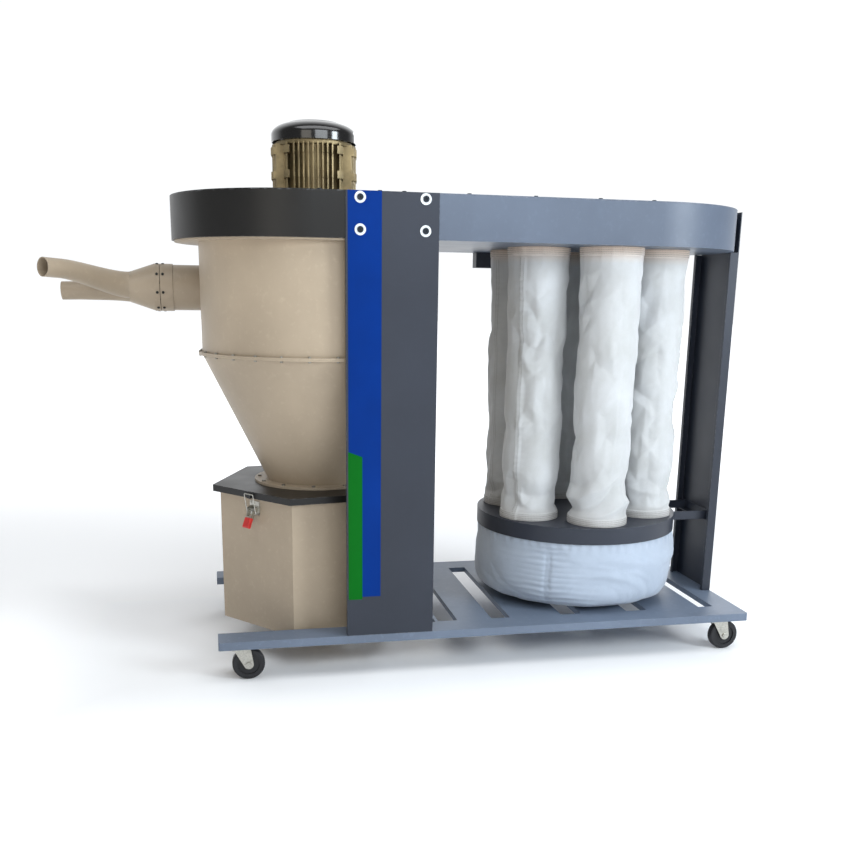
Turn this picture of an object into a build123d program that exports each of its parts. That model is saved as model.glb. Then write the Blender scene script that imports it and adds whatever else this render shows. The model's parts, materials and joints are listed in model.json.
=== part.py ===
"""Dust collector on a castered base: cyclone and bin at the left, filter bags and dust bag at the right.

Millimetres. X runs along the base to the right, Y towards the back, Z up from the floor.
The origin is on the floor, under the middle of the whole machine.
"""

import math
import os

from build123d import *

# Base and structure
BASE_LENGTH = 1754
BASE_RIGHT = 1132
BASE_LEFT = BASE_RIGHT - BASE_LENGTH
HALF_DEPTH = 400
SHEET = 3
SKIRT = 26
DECK_TOP = 134
DECK_UNDER = DECK_TOP - SHEET
SKIRT_FOOT = DECK_TOP - SKIRT
STRIP_WIDTH = 88
BAY_HALF = HALF_DEPTH - STRIP_WIDTH
BAY_RIGHT = 68
SLOTS = ((78, 65), (258, 64), (499, 70), (731, 74), (997, 52))
SLOT_HALF = 308
SLOT_HEM = 18
CORNER_RADIUS = 6
RAIL_X = (-430, -102)
RAIL_WIDTH = 30
RAIL_HEIGHT = 12

COLUMN_LEFT = -229.5
COLUMN_RIGHT = 39.6
COLUMN_RETURN = 20
SCREW_X = (-188.5, -0.3)
SCREW_Z = (1340, 1427)
SCREW_RADIUS = 5
SCREW_LENGTH = 12
SCREW_HEAD = 4
WASHER_RADIUS = 16
WASHER_THICKNESS = 2
STRIPE_THICKNESS = 1

HOUSING_FOOT = 1316
HOUSING_TOP = 1445
HOUSING_RADIUS = HALF_DEPTH - SHEET
HOUSING_LEFT = -322
HOUSING_RIGHT = 732
HOUSING_SPLIT = -95
COVER_SCREW_X = (-300, -130, -60, 130, 330, 530, 700)
COVER_SCREW_Y = HOUSING_RADIUS - 13
SCROLL_RADIUS = 345

PANEL_HALF = 130
PANEL_FLANGE = 30
BRACKET_FOOT = 394
BRACKET_HEIGHT = 30
ARM_Y = 95
PLENUM_BRACKET = (345, 440, 335, 385, 1262)

# Cyclone and bin
CYCLONE_X = -275
BARREL_RADIUS = 364
TOP_FLANGE_INSET = 8
FLANGE_RADIUS = 376
FLANGE_Z = 975
FLANGE_THICKNESS = 5
CONE_FOOT_RADIUS = 167
CONE_FOOT = 565
CONE_FLANGE_RADIUS = 209
CONE_FLANGE = 8
VORTEX_RADIUS = 150
VORTEX_FOOT = 1090
DUCT_RADIUS = 75
DUCT_Y = 288
DUCT_Z = 1175
DUCT_END = -771
PORT_RADIUS = 30
PORT_LENGTH = 60
FRONT_MOUTH = (-1111.95, 60, 1231)
FRONT_HEADING = 42
BACK_MOUTH = (-1092, 304, 1160)
LEG_START_RADIUS = 44
BRANCH_START = DUCT_END - 96
TUBE_WALL = 2

HEX_TURN = 10
LID_RADIUS = 352
LID_TOP = CONE_FOOT - CONE_FLANGE
LID_RIM = 21
BIN_RADIUS = 328
BIN_FOOT = SKIRT_FOOT + 0.3
BIN_TOP = LID_TOP - LID_RIM - 0.7

# Filter side
RING_X = 644
RING_RADIUS = 348
RING_FOOT = 378
RING_TOP = 432
BAG_RADIUS = 100
BAG_PITCH = 235
BAG_TURN = 268
SNAP_HEIGHT = 10

# Motor and fan
MOTOR_RADIUS = 132
MOTOR_FLANGE = 12
MOTOR_TOP = 1614
MOTOR_CORE = 95
MOTOR_BARREL = 106
MOTOR_TURN = -7
FIN_PITCH = 14.5
FIN_WIDTH = 4.5
FINS_A_SIDE = 9
BOSS_X = 81
BOSS_Z = (1514, 1585)
COWL_TOP = 1675
COWL_WALL = 2.5
COWL_DOME = 41
SHAFT_RADIUS = 14
IMPELLER_RADIUS = 270

# Casters and latches
CASTER_X = (-560, 1040)
CASTER_Y = (-356, 356)
CASTER_NAMES = ("front_left", "back_left", "front_right", "back_right")
WHEEL_RADIUS = 50
WHEEL_WIDTH = 26
CASTER_TRAIL = 28
KINGPIN_RADIUS = 6
AXLE_RADIUS = 5
PEDAL_PIN_RADIUS = 3
RUNNING = 0.05
LATCH_FACES = {"front": 220, "back": 160}
LATCH_PIN_Z = 500
LATCH_PIN_OUT = 14
LATCH_PIN_RADIUS = 2.5
LEVER_LEAN = 25
LEVER_LENGTH = 46
BAIL_WIRE = 1.75
BAIL_ARM_X = 19.5
BAIL_BAR = (549.5, 27)


def block(x0, x1, y0, y1, z0, z1):
    return Pos((x0 + x1) / 2, (y0 + y1) / 2, (z0 + z1) / 2) * Box(abs(x1 - x0), abs(y1 - y0), abs(z1 - z0))


def disc(x, y, z0, z1, radius):
    return Pos(x, y, (z0 + z1) / 2) * Cylinder(radius, z1 - z0)


def tube(x, y, z0, z1, outer, inner):
    return disc(x, y, z0, z1, outer) - disc(x, y, z0, z1, inner)


def rod_x(x0, x1, y, z, radius):
    return Pos((x0 + x1) / 2, y, z) * Rot(0, 90, 0) * Cylinder(radius, x1 - x0)


def rod_y(x, y0, y1, z, radius):
    return Pos(x, (y0 + y1) / 2, z) * Rot(90, 0, 0) * Cylinder(radius, abs(y1 - y0))


def around(count, radius, turn=0.0):
    """Points of a bolt circle about the origin."""
    steps = (math.radians(turn + 360 * k / count) for k in range(count))
    return [(radius * math.cos(a), radius * math.sin(a)) for a in steps]


def joined(shapes):
    """One solid out of several that touch or overlap."""
    result = shapes[0]
    for shape in shapes[1:]:
        result = result + shape
    return result


def save(name, *shapes):
    solids = [solid for shape in shapes for solid in shape.solids()]
    export_step(Compound(solids), f"parts/{name}.step")


# Base


def base_frame():
    tray = block(BASE_LEFT, BASE_RIGHT, -HALF_DEPTH, HALF_DEPTH, SKIRT_FOOT, DECK_TOP)
    inside = HALF_DEPTH - SHEET
    tray -= block(BASE_LEFT + SHEET, BASE_RIGHT - SHEET, -inside, inside, SKIRT_FOOT, DECK_UNDER)
    lip = BAY_HALF + SHEET
    tray += block(BASE_LEFT, BAY_RIGHT + SHEET, -lip, lip, SKIRT_FOOT, DECK_TOP)
    tray -= block(BASE_LEFT, BAY_RIGHT, -BAY_HALF, BAY_HALF, SKIRT_FOOT, DECK_TOP)
    hem_half = SLOT_HALF + SHEET
    for left, width in SLOTS:
        right = left + width
        tray += block(left - SHEET, right + SHEET, -hem_half, hem_half, DECK_TOP - SLOT_HEM, DECK_TOP)
        tray -= block(left, right, -SLOT_HALF, SLOT_HALF, SKIRT_FOOT, DECK_TOP)
    save("base_frame", fillet_vertical(tray))


def fillet_vertical(tray):
    """Rounds the four outer corners of the base."""
    corners = [
        edge
        for edge in tray.edges().filter_by(Axis.Z)
        if min(abs(edge.center().X - BASE_LEFT), abs(edge.center().X - BASE_RIGHT)) < 0.1
        and abs(abs(edge.center().Y) - HALF_DEPTH) < 0.1
    ]
    return fillet(corners, CORNER_RADIUS)


def bin_rails():
    half = RAIL_WIDTH / 2
    reach = BAY_HALF + RAIL_WIDTH
    rails = [block(x - half, x + half, -reach, reach, SKIRT_FOOT - RAIL_HEIGHT, SKIRT_FOOT) for x in RAIL_X]
    save("bin_rails", *rails)


# Columns and stripes


def column(side):
    """Folded sheet channel; side is -1 at the front and 1 at the back."""
    face, inner = side * HALF_DEPTH, side * (HALF_DEPTH - SHEET)
    lip = side * (HALF_DEPTH - COLUMN_RETURN)
    web = block(COLUMN_LEFT, COLUMN_RIGHT, face, inner, DECK_TOP, HOUSING_TOP)
    left = block(COLUMN_LEFT, COLUMN_LEFT + SHEET, inner, lip, DECK_TOP, HOUSING_FOOT)
    right = block(COLUMN_RIGHT - SHEET, COLUMN_RIGHT, inner, lip, DECK_TOP, HOUSING_FOOT)
    foot = block(COLUMN_LEFT + SHEET, COLUMN_RIGHT - SHEET, inner, lip, DECK_TOP, DECK_TOP + SHEET)
    return joined([web, left, right, foot]) - column_holes(side)


def column_holes(side):
    outside, tip = side * (HALF_DEPTH + 5), side * (HALF_DEPTH - SCREW_LENGTH)
    return joined([rod_y(x, outside, tip, z, SCREW_RADIUS + 0.2) for x in SCREW_X for z in SCREW_Z])


def columns():
    save("front_column", column(-1))
    save("rear_column", column(1))
    washers, screws = [], []
    for side in (-1, 1):
        face = side * HALF_DEPTH
        out = side * (HALF_DEPTH + WASHER_THICKNESS)
        head = side * (HALF_DEPTH + WASHER_THICKNESS + SCREW_HEAD)
        socket = side * (HALF_DEPTH + WASHER_THICKNESS + 1)
        tip = side * (HALF_DEPTH - SCREW_LENGTH)
        for x in SCREW_X:
            for z in SCREW_Z:
                washer = rod_y(x, face, out, z, WASHER_RADIUS) - rod_y(x, face, out, z, SCREW_RADIUS + 0.2)
                washers.append(washer)
                screw = rod_y(x, out, head, z, 9) - rod_y(x, socket, head, z, 4)
                screws.append(screw + rod_y(x, tip, out, z, SCREW_RADIUS))
    save("column_washers", *washers)
    return screws


def stripes():
    front = -HALF_DEPTH - STRIPE_THICKNESS
    green_face = Polyline((-225, 251), (-183, 251), (-183, 693), (-225, 709), close=True)
    green = extrude(Plane.XZ * make_face(green_face), STRIPE_THICKNESS)
    green = Pos(0, -HALF_DEPTH, 0) * green
    blue = block(-224, -127, front, -HALF_DEPTH, 259, HOUSING_TOP) - green
    for z in SCREW_Z:
        blue -= rod_y(SCREW_X[0], front, -HALF_DEPTH, z, WASHER_RADIUS + 0.3)
    save("stripe_blue", blue)
    save("stripe_green", green)


# Top housing


def stadium(inset, z0, z1):
    """The outline of the whole housing, set in by a margin."""
    radius = HOUSING_RADIUS - inset
    middle = block(HOUSING_LEFT, HOUSING_RIGHT, -radius, radius, z0, z1)
    ends = [disc(x, 0, z0, z1, radius) for x in (HOUSING_LEFT, HOUSING_RIGHT)]
    return joined([middle, *ends])


def left_half(shape):
    return shape & block(-1200, HOUSING_SPLIT, -500, 500, 1000, 1800)


def right_half(shape):
    return shape & block(HOUSING_SPLIT, 1200, -500, 500, 1000, 1800)


def bag_centres():
    return [(RING_X + x, y) for x, y in around(6, BAG_PITCH, BAG_TURN)]


def housings():
    lid_foot = HOUSING_TOP - SHEET
    shell = stadium(0, HOUSING_FOOT, lid_foot) - stadium(SHEET, HOUSING_FOOT + SHEET, lid_foot)
    lip = stadium(SHEET, lid_foot - SHEET, lid_foot) - stadium(25, lid_foot - SHEET, lid_foot)
    shell = shell + lip - column_holes(-1) - column_holes(1)
    fan = left_half(shell) - disc(CYCLONE_X, 0, HOUSING_FOOT, HOUSING_FOOT + SHEET, VORTEX_RADIUS)
    plenum = right_half(shell)
    for x, y in bag_centres():
        plenum -= disc(x, y, HOUSING_FOOT, HOUSING_FOOT + SHEET, BAG_RADIUS - 8)

    cover = stadium(0, lid_foot, HOUSING_TOP)
    fan_cover = left_half(cover) - disc(CYCLONE_X, 0, lid_foot, HOUSING_TOP, 112)
    plenum_cover = right_half(cover)
    screws = []
    for x, y in [(x, side * COVER_SCREW_Y) for side in (-1, 1) for x in COVER_SCREW_X]:
        hole = disc(x, y, lid_foot - 6, HOUSING_TOP, 3.2)
        if x < HOUSING_SPLIT:
            fan_cover -= hole
            fan -= hole
        else:
            plenum_cover -= hole
            plenum -= hole
        head = disc(x, y, HOUSING_TOP, HOUSING_TOP + 3, 6)
        screws.append(head + disc(x, y, lid_foot - 6, HOUSING_TOP, 3))
    save("fan_housing", fan)
    save("filter_plenum", plenum)
    save("fan_cover", fan_cover)
    save("plenum_cover", plenum_cover)
    return screws


def fan_scroll():
    """Volute wall round the impeller, open towards the filter side."""
    z0, z1 = HOUSING_FOOT + SHEET, HOUSING_TOP - 2 * SHEET
    wall = tube(CYCLONE_X, 0, z0, z1, SCROLL_RADIUS, SCROLL_RADIUS - SHEET)
    wall -= block(CYCLONE_X, CYCLONE_X + SCROLL_RADIUS + 15, -150, 330, z0, z1)
    save("fan_scroll", wall)


def end_panel():
    web = block(BASE_RIGHT - SHEET, BASE_RIGHT, -PANEL_HALF, PANEL_HALF, DECK_TOP, HOUSING_TOP)
    left = BASE_RIGHT - PANEL_FLANGE
    pieces = [web]
    for side in (-1, 1):
        outer, inner = side * PANEL_HALF, side * (PANEL_HALF - SHEET)
        lip = side * (PANEL_HALF - 15)
        pieces.append(block(left, BASE_RIGHT, outer, inner, DECK_TOP, HOUSING_FOOT))
        pieces.append(block(left, left + SHEET, outer, lip, DECK_TOP, HOUSING_FOOT))
    inside = PANEL_HALF - SHEET
    shelf = BRACKET_FOOT - 4
    pieces.append(block(left + SHEET, BASE_RIGHT - SHEET, -inside, inside, shelf, shelf + SHEET))
    save("end_panel", joined(pieces))


def ring_bracket():
    """Arms from the end panel that carry the bag ring."""
    reach = BASE_RIGHT - SHEET
    low, high = BRACKET_FOOT, BRACKET_FOOT + BRACKET_HEIGHT
    start = RING_X + math.sqrt(RING_RADIUS**2 - (ARM_Y - 2) ** 2) + 0.5
    arms = [block(start, reach, side * ARM_Y - 2, side * ARM_Y + 2, low, high) for side in (-1, 1)]
    pad_half = PANEL_HALF - 20
    pad = block(reach - 4, reach, -pad_half, pad_half, low, high)
    saddle = tube(RING_X, 0, low, high, RING_RADIUS + SHEET, RING_RADIUS)
    saddle &= block(RING_X + RING_RADIUS - 92, reach, -ARM_Y - 15, ARM_Y + 15, low, high)
    save("ring_bracket", joined([*arms, pad, saddle]))


def plenum_bracket():
    """Folded bracket under the back of the plenum, beside the bags."""
    x0, x1, y0, y1, z0 = PLENUM_BRACKET
    shell = block(x0, x1, y0, y1, z0, HOUSING_FOOT)
    shell -= block(x0 + SHEET, x1 - SHEET, y0 + SHEET, y1, z0 + SHEET, HOUSING_FOOT)
    save("plenum_bracket", shell)


# Filter side


def filter_side():
    plate = disc(RING_X, 0, RING_TOP - SHEET, RING_TOP, RING_RADIUS)
    rim = tube(RING_X, 0, RING_FOOT, RING_TOP, RING_RADIUS, RING_RADIUS - SHEET)
    ring = plate + rim
    for x, y in bag_centres():
        ring -= disc(x, y, RING_TOP - SHEET, RING_TOP, BAG_RADIUS - 8)
    save("bag_ring", ring)

    snaps = []
    low, high = RING_TOP + 0.2, HOUSING_FOOT - 0.2
    for number, (x, y) in enumerate(bag_centres(), 1):
        bag = disc(x, y, low, high, BAG_RADIUS)
        for z0 in (low + 3, high - 3 - SNAP_HEIGHT):
            snap = tube(x, y, z0, z0 + SNAP_HEIGHT, BAG_RADIUS - SHEET, BAG_RADIUS - SHEET - 2)
            bag -= snap
            snaps.append(snap)
        save(f"filter_bag_{number}", bag)
    save("bag_snap_rings", *snaps)

    top = RING_FOOT - 0.2
    foot = DECK_TOP + 0.1
    outline = Polyline(
        (0, foot), (225, foot), (308, foot + 19), (345, foot + 40), (359, foot + 62), (363, foot + 105),
        (361, top - 80), (355, top - 36), (344, top), (0, top), close=True,
    )
    bag = revolve(Plane.XZ * make_face(outline), Axis.Z)
    save("lower_bag", Pos(RING_X, 0, 0) * bag)


# Cyclone


def cyclone():
    barrel = tube(CYCLONE_X, 0, FLANGE_Z, HOUSING_FOOT, BARREL_RADIUS, BARREL_RADIUS - SHEET)
    flange_top = FLANGE_Z + FLANGE_THICKNESS
    barrel += tube(CYCLONE_X, 0, FLANGE_Z, flange_top, FLANGE_RADIUS, BARREL_RADIUS - SHEET)
    barrel += tube(CYCLONE_X, 0, HOUSING_FOOT - SHEET, HOUSING_FOOT, BARREL_RADIUS, VORTEX_RADIUS)
    plate_foot = HOUSING_FOOT - FLANGE_THICKNESS
    plate = left_half(stadium(TOP_FLANGE_INSET, plate_foot, HOUSING_FOOT))
    for side in (-1, 1):
        outside, inside = side * (HALF_DEPTH + 5), side * (HALF_DEPTH - COLUMN_RETURN - 2)
        plate -= block(COLUMN_LEFT - 2, HOUSING_SPLIT, outside, inside, plate_foot, HOUSING_FOOT)
    barrel += plate - disc(CYCLONE_X, 0, plate_foot, HOUSING_FOOT, BARREL_RADIUS - SHEET)
    barrel -= rod_x(DUCT_END, CYCLONE_X, DUCT_Y, DUCT_Z, DUCT_RADIUS - TUBE_WALL)

    under = FLANGE_Z - FLANGE_THICKNESS
    height = under - CONE_FOOT
    middle = Pos(CYCLONE_X, 0, CONE_FOOT + height / 2)
    cone = middle * Cone(CONE_FOOT_RADIUS, BARREL_RADIUS, height)
    flange = disc(CYCLONE_X, 0, under, FLANGE_Z, FLANGE_RADIUS)
    foot = disc(CYCLONE_X, 0, LID_TOP, CONE_FOOT, CONE_FLANGE_RADIUS)
    cone = cone + flange + foot
    cone -= middle * Cone(CONE_FOOT_RADIUS - SHEET, BARREL_RADIUS - SHEET, height)
    cone -= disc(CYCLONE_X, 0, under, FLANGE_Z, BARREL_RADIUS - SHEET)
    cone -= disc(CYCLONE_X, 0, LID_TOP, CONE_FOOT, CONE_FOOT_RADIUS - SHEET)

    bolts = []
    for x, y in around(28, (FLANGE_RADIUS + BARREL_RADIUS) / 2 + 0.4, 4):
        x += CYCLONE_X
        shank = disc(x, y, under - 4, flange_top + 4, 2.5)
        hole = disc(x, y, under, flange_top, 2.6)
        barrel -= hole
        cone -= hole
        head = disc(x, y, flange_top, flange_top + 4, 4.6)
        bolts.append(shank + head + disc(x, y, under - 4, under, 4.6))
    for x, y in around(12, CONE_FLANGE_RADIUS - 14, 20):
        x += CYCLONE_X
        cone -= disc(x, y, LID_TOP, CONE_FOOT, 3.2)
        bolts.append(disc(x, y, LID_TOP, CONE_FOOT, 3) + disc(x, y, CONE_FOOT, CONE_FOOT + 4, 6))
    save("cyclone_barrel", barrel)
    save("cyclone_cone", cone)
    finder = tube(CYCLONE_X, 0, VORTEX_FOOT, HOUSING_FOOT + SHEET, VORTEX_RADIUS, VORTEX_RADIUS - TUBE_WALL)
    save("vortex_tube", finder)
    return bolts


def leg(points, start_radius, end_radius, stretch=0.0):
    """A tapering bent pipe: round sections along a Bezier curve, ending straight."""
    path = Bezier(*points)
    sections = []
    steps = 5
    for k in range(steps + 1):
        share = k / steps
        radius = end_radius + (start_radius - end_radius) * (1 - share) ** 1.4
        sections.append(Plane(origin=path @ share, z_dir=path % share) * Circle(radius))
    body = loft(sections)
    if stretch:
        end = Plane(origin=path @ 1, z_dir=path % 1)
        body = body + extrude(end * Circle(end_radius), stretch)
    return body


def branch_legs(shrink):
    """Both legs of the branch, thinner by the wall when they are the inside."""
    heading = math.radians(FRONT_HEADING)
    front_dir = Vector(-math.cos(heading), -math.sin(heading), 0.05).normalized()
    back_dir = Vector(-1, 0.06, -0.02).normalized()
    extra = 2 if shrink else 0
    pieces = []
    for start_y, start_z, mouth, heading in (
        (DUCT_Y - 26, DUCT_Z + 6, FRONT_MOUTH, front_dir),
        (DUCT_Y + 24, DUCT_Z - 6, BACK_MOUTH, back_dir),
    ):
        start = Vector(BRANCH_START, start_y, start_z)
        end = Vector(*mouth) - heading * PORT_LENGTH
        near = start + Vector(-60, 0, 0)
        far = end - heading * 70
        route = [start, near, far, end]
        pieces.append(leg(route, LEG_START_RADIUS - shrink, PORT_RADIUS - shrink, PORT_LENGTH + extra))
    return pieces


def branch_hub(shrink):
    """Round collar that flattens into the oblong end where the legs start."""
    round_end = Plane(origin=(DUCT_END - 18, DUCT_Y, DUCT_Z), x_dir=(0, 1, 0), z_dir=(-1, 0, 0))
    oblong = Plane(origin=(BRANCH_START - 4, DUCT_Y - 1, DUCT_Z), x_dir=(0, 1, 0), z_dir=(-1, 0, 0))
    flat = oblong * Ellipse(74 - shrink, 50 - shrink)
    return loft([round_end * Circle(DUCT_RADIUS + 3 - shrink), flat])


def inlet():
    duct = rod_x(DUCT_END, CYCLONE_X, DUCT_Y, DUCT_Z, DUCT_RADIUS)
    duct -= rod_x(DUCT_END, CYCLONE_X, DUCT_Y, DUCT_Z, DUCT_RADIUS - TUBE_WALL)
    duct -= disc(CYCLONE_X, 0, FLANGE_Z, HOUSING_FOOT, BARREL_RADIUS)
    sleeve_end = DUCT_END + 42
    sleeve = rod_x(DUCT_END + 1, sleeve_end, DUCT_Y, DUCT_Z, DUCT_RADIUS + 3)
    sleeve -= rod_x(DUCT_END + 1, sleeve_end, DUCT_Y, DUCT_Z, DUCT_RADIUS)

    collar = rod_x(DUCT_END - 20, DUCT_END - 1, DUCT_Y, DUCT_Z, DUCT_RADIUS + 3)
    branch = joined([collar, branch_hub(0), *branch_legs(0)])
    hollow = [rod_x(DUCT_END - 20, DUCT_END - 1, DUCT_Y, DUCT_Z, DUCT_RADIUS + 1)]
    hollow += [branch_hub(TUBE_WALL), *branch_legs(TUBE_WALL)]
    for piece in hollow:
        branch -= piece
    screws = []
    for x in (DUCT_END - 9, DUCT_END + 10):
        for y, z in around(8, DUCT_RADIUS + 3, 12):
            turn = math.degrees(math.atan2(z, y))
            place = Pos(x, DUCT_Y, DUCT_Z) * Rot(turn, 0, 0) * Pos(0, DUCT_RADIUS + 3, 0) * Rot(90, 0, 0)
            screws.append(place * Cylinder(4.5, 5))
    for screw in screws:
        branch -= screw
        sleeve -= screw
        duct -= screw
    save("inlet_duct", duct + sleeve)
    save("y_branch", branch)
    return screws


# Bin


def hexagon(radius, z0, z1):
    face = Plane.XY.offset(z0) * RegularPolygon(radius, 6, rotation=HEX_TURN)
    return Pos(CYCLONE_X, 0, 0) * extrude(face, z1 - z0)


def bin_and_lid(keepers):
    rim_foot = LID_TOP - LID_RIM
    lid = hexagon(LID_RADIUS, rim_foot, LID_TOP) - hexagon(LID_RADIUS - 3.5, rim_foot, LID_TOP - SHEET)
    lid -= disc(CYCLONE_X, 0, LID_TOP - SHEET, LID_TOP, CONE_FOOT_RADIUS - SHEET)
    save("bin_lid", lid, *keepers)
    lid_under = LID_TOP - SHEET
    gasket = hexagon(LID_RADIUS - 4, rim_foot, lid_under) - hexagon(LID_RADIUS - 50, rim_foot, lid_under)
    save("lid_gasket", gasket)

    body = hexagon(BIN_RADIUS, BIN_FOOT, BIN_TOP) + hexagon(BIN_RADIUS + 10, BIN_TOP - SHEET, BIN_TOP)
    body -= hexagon(BIN_RADIUS - 3.5, BIN_FOOT + SHEET, BIN_TOP)
    save("bin_body", body)


def latch_place(face_angle):
    """Local frame on a face of the bin: X along the face, Y up, Z outwards."""
    angle = math.radians(face_angle)
    reach = BIN_RADIUS * math.cos(math.pi / 6)
    along = (-math.sin(angle), math.cos(angle), 0)
    out = (math.cos(angle), math.sin(angle), 0)
    origin = (CYCLONE_X + reach * out[0], reach * out[1], 0)
    return Plane(origin=origin, x_dir=along, z_dir=out).location


def slab(half_width, profile):
    """A profile of (height, reach) points, as wide as both halves."""
    return extrude(Plane.YZ * profile, half_width, both=True)


def latches():
    lean = math.radians(LEVER_LEAN)
    down, out = -math.cos(lean), math.sin(lean)
    bail_up, bail_out = LATCH_PIN_Z - 15, LATCH_PIN_OUT + 2
    bar_up, bar_out = BAIL_BAR
    lid_reach = (LID_RADIUS - BIN_RADIUS) * math.cos(math.pi / 6)
    ear = Pos(LATCH_PIN_Z, LATCH_PIN_OUT) * Circle(6.5)
    ear = make_hull(ear.edges() + (Pos(LATCH_PIN_Z, 1) * Rectangle(20, 2)).edges())
    ears = slab(16, ear) - slab(14, Pos(LATCH_PIN_Z, 8) * Rectangle(60, 60))
    plate = slab(22, Pos(LATCH_PIN_Z + 2, 1) * Rectangle(44, 2))
    pin = rod_x(-17.5, 17.5, LATCH_PIN_Z, LATCH_PIN_OUT, LATCH_PIN_RADIUS)
    base = joined([plate, ears, pin])
    for x in (-17, 17):
        base += Pos(x, LATCH_PIN_Z + 18, 2.8) * Cylinder(3, 1.6)

    tip = (LATCH_PIN_Z + LEVER_LENGTH * down, LATCH_PIN_OUT + LEVER_LENGTH * out)
    outline = (Pos(LATCH_PIN_Z, LATCH_PIN_OUT) * Circle(6)).edges()
    outline += (Pos(bail_up, bail_out) * Circle(5)).edges() + (Pos(*tip) * Circle(4)).edges()
    lever = slab(12, make_hull(outline)) - slab(10, Pos(LATCH_PIN_Z - 12, 20) * Rectangle(62, 80))
    web_reach = LEVER_LENGTH - 10
    web_mid = (LATCH_PIN_Z + web_reach * down, LATCH_PIN_OUT + web_reach * out)
    web = Pos(*web_mid) * Rot(0, 0, 180 - LEVER_LEAN) * Rectangle(24, 3)
    lever += slab(12, web)
    lever -= rod_x(-20, 20, LATCH_PIN_Z, LATCH_PIN_OUT, LATCH_PIN_RADIUS + RUNNING)
    lever -= rod_x(-20, 20, bail_up, bail_out, BAIL_WIRE + RUNNING)
    grip = slab(13.5, Pos(*tip) * Rot(0, 0, 180 - LEVER_LEAN) * RectangleRounded(34, 13, 4))
    grip = fillet(grip.edges().filter_by(lambda edge: abs(abs(edge.center().X) - 13.5) < 0.01), 2) - lever

    arm = BAIL_ARM_X
    route = FilletPolyline(
        (9, bail_up, bail_out), (arm, bail_up, bail_out), (arm, bar_up, bar_out),
        (-arm, bar_up, bar_out), (-arm, bail_up, bail_out), (-9, bail_up, bail_out), radius=4,
    )
    bail = sweep(Plane(origin=route @ 0, z_dir=route % 0) * Circle(BAIL_WIRE), path=route)
    keeper = Pos(0, 541.5, lid_reach + 4) * Box(16, 11, 8)
    keeper += Pos(0, 546, lid_reach + 1) * Box(30, 19, 2)

    keepers, bases = [], []
    for name, face_angle in LATCH_FACES.items():
        place = latch_place(face_angle)
        keepers.append(place * keeper)
        bases.append(place * base)
        save(f"latch_lever_{name}", place * lever)
        save(f"latch_grip_{name}", place * grip)
        save(f"latch_bail_{name}", place * bail)
        pin_at = (place * Pos(0, LATCH_PIN_Z, LATCH_PIN_OUT)).position
        bail_at = (place * Pos(0, bail_up, bail_out)).position
        print(name, "lever pin", pin_at, "bail pin", bail_at)
    save("latch_bases", *bases)
    return keepers


# Motor and fan


def motor_frame(foot):
    """Barrel with straight fins on its four sides and screwed bosses at the front and back."""
    low, high = foot + 10, MOTOR_TOP - 8
    envelope = disc(0, 0, low, high, MOTOR_RADIUS - 2)
    barrel = tube(0, 0, foot, MOTOR_TOP, MOTOR_BARREL, MOTOR_CORE)
    fins = []
    for side in range(4):
        for k in range(FINS_A_SIDE):
            x = (k - (FINS_A_SIDE - 1) / 2) * FIN_PITCH
            fin = block(x - FIN_WIDTH / 2, x + FIN_WIDTH / 2, -MOTOR_RADIUS, -MOTOR_BARREL * 0.7, low, high)
            fins.append(Rot(0, 0, 90 * side) * fin)
    bosses = []
    holes = []
    for turn in (0, 180):
        for x in (-BOSS_X, BOSS_X):
            rib = block(x - 3, x + 3, -MOTOR_RADIUS, -MOTOR_BARREL * 0.5, low, high)
            bosses.append(Rot(0, 0, turn) * rib)
            for z in BOSS_Z:
                boss = block(x - 9, x + 9, -MOTOR_RADIUS - 4, -MOTOR_BARREL * 0.5, z - 11, z + 11)
                bosses.append(Rot(0, 0, turn) * (boss - disc(0, 0, z - 11, z + 11, MOTOR_CORE + 2)))
                holes.append(Rot(0, 0, turn) * rod_y(x, -MOTOR_RADIUS - 5, -MOTOR_RADIUS + 14, z, 4.5))
    envelope += joined([tube(0, 0, z - 11, z + 11, MOTOR_RADIUS + 5, MOTOR_CORE) for z in BOSS_Z])
    frame = barrel + (joined([*fins, *bosses]) & envelope) - joined(holes)
    frame -= disc(0, 0, foot, MOTOR_TOP, MOTOR_CORE)
    for z0, z1 in ((foot, foot + 14), (MOTOR_TOP - 12, MOTOR_TOP)):
        frame += tube(0, 0, z0, z1, 118, MOTOR_CORE)
    return Pos(CYCLONE_X, 0, 0) * Rot(0, 0, MOTOR_TURN) * frame


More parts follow.
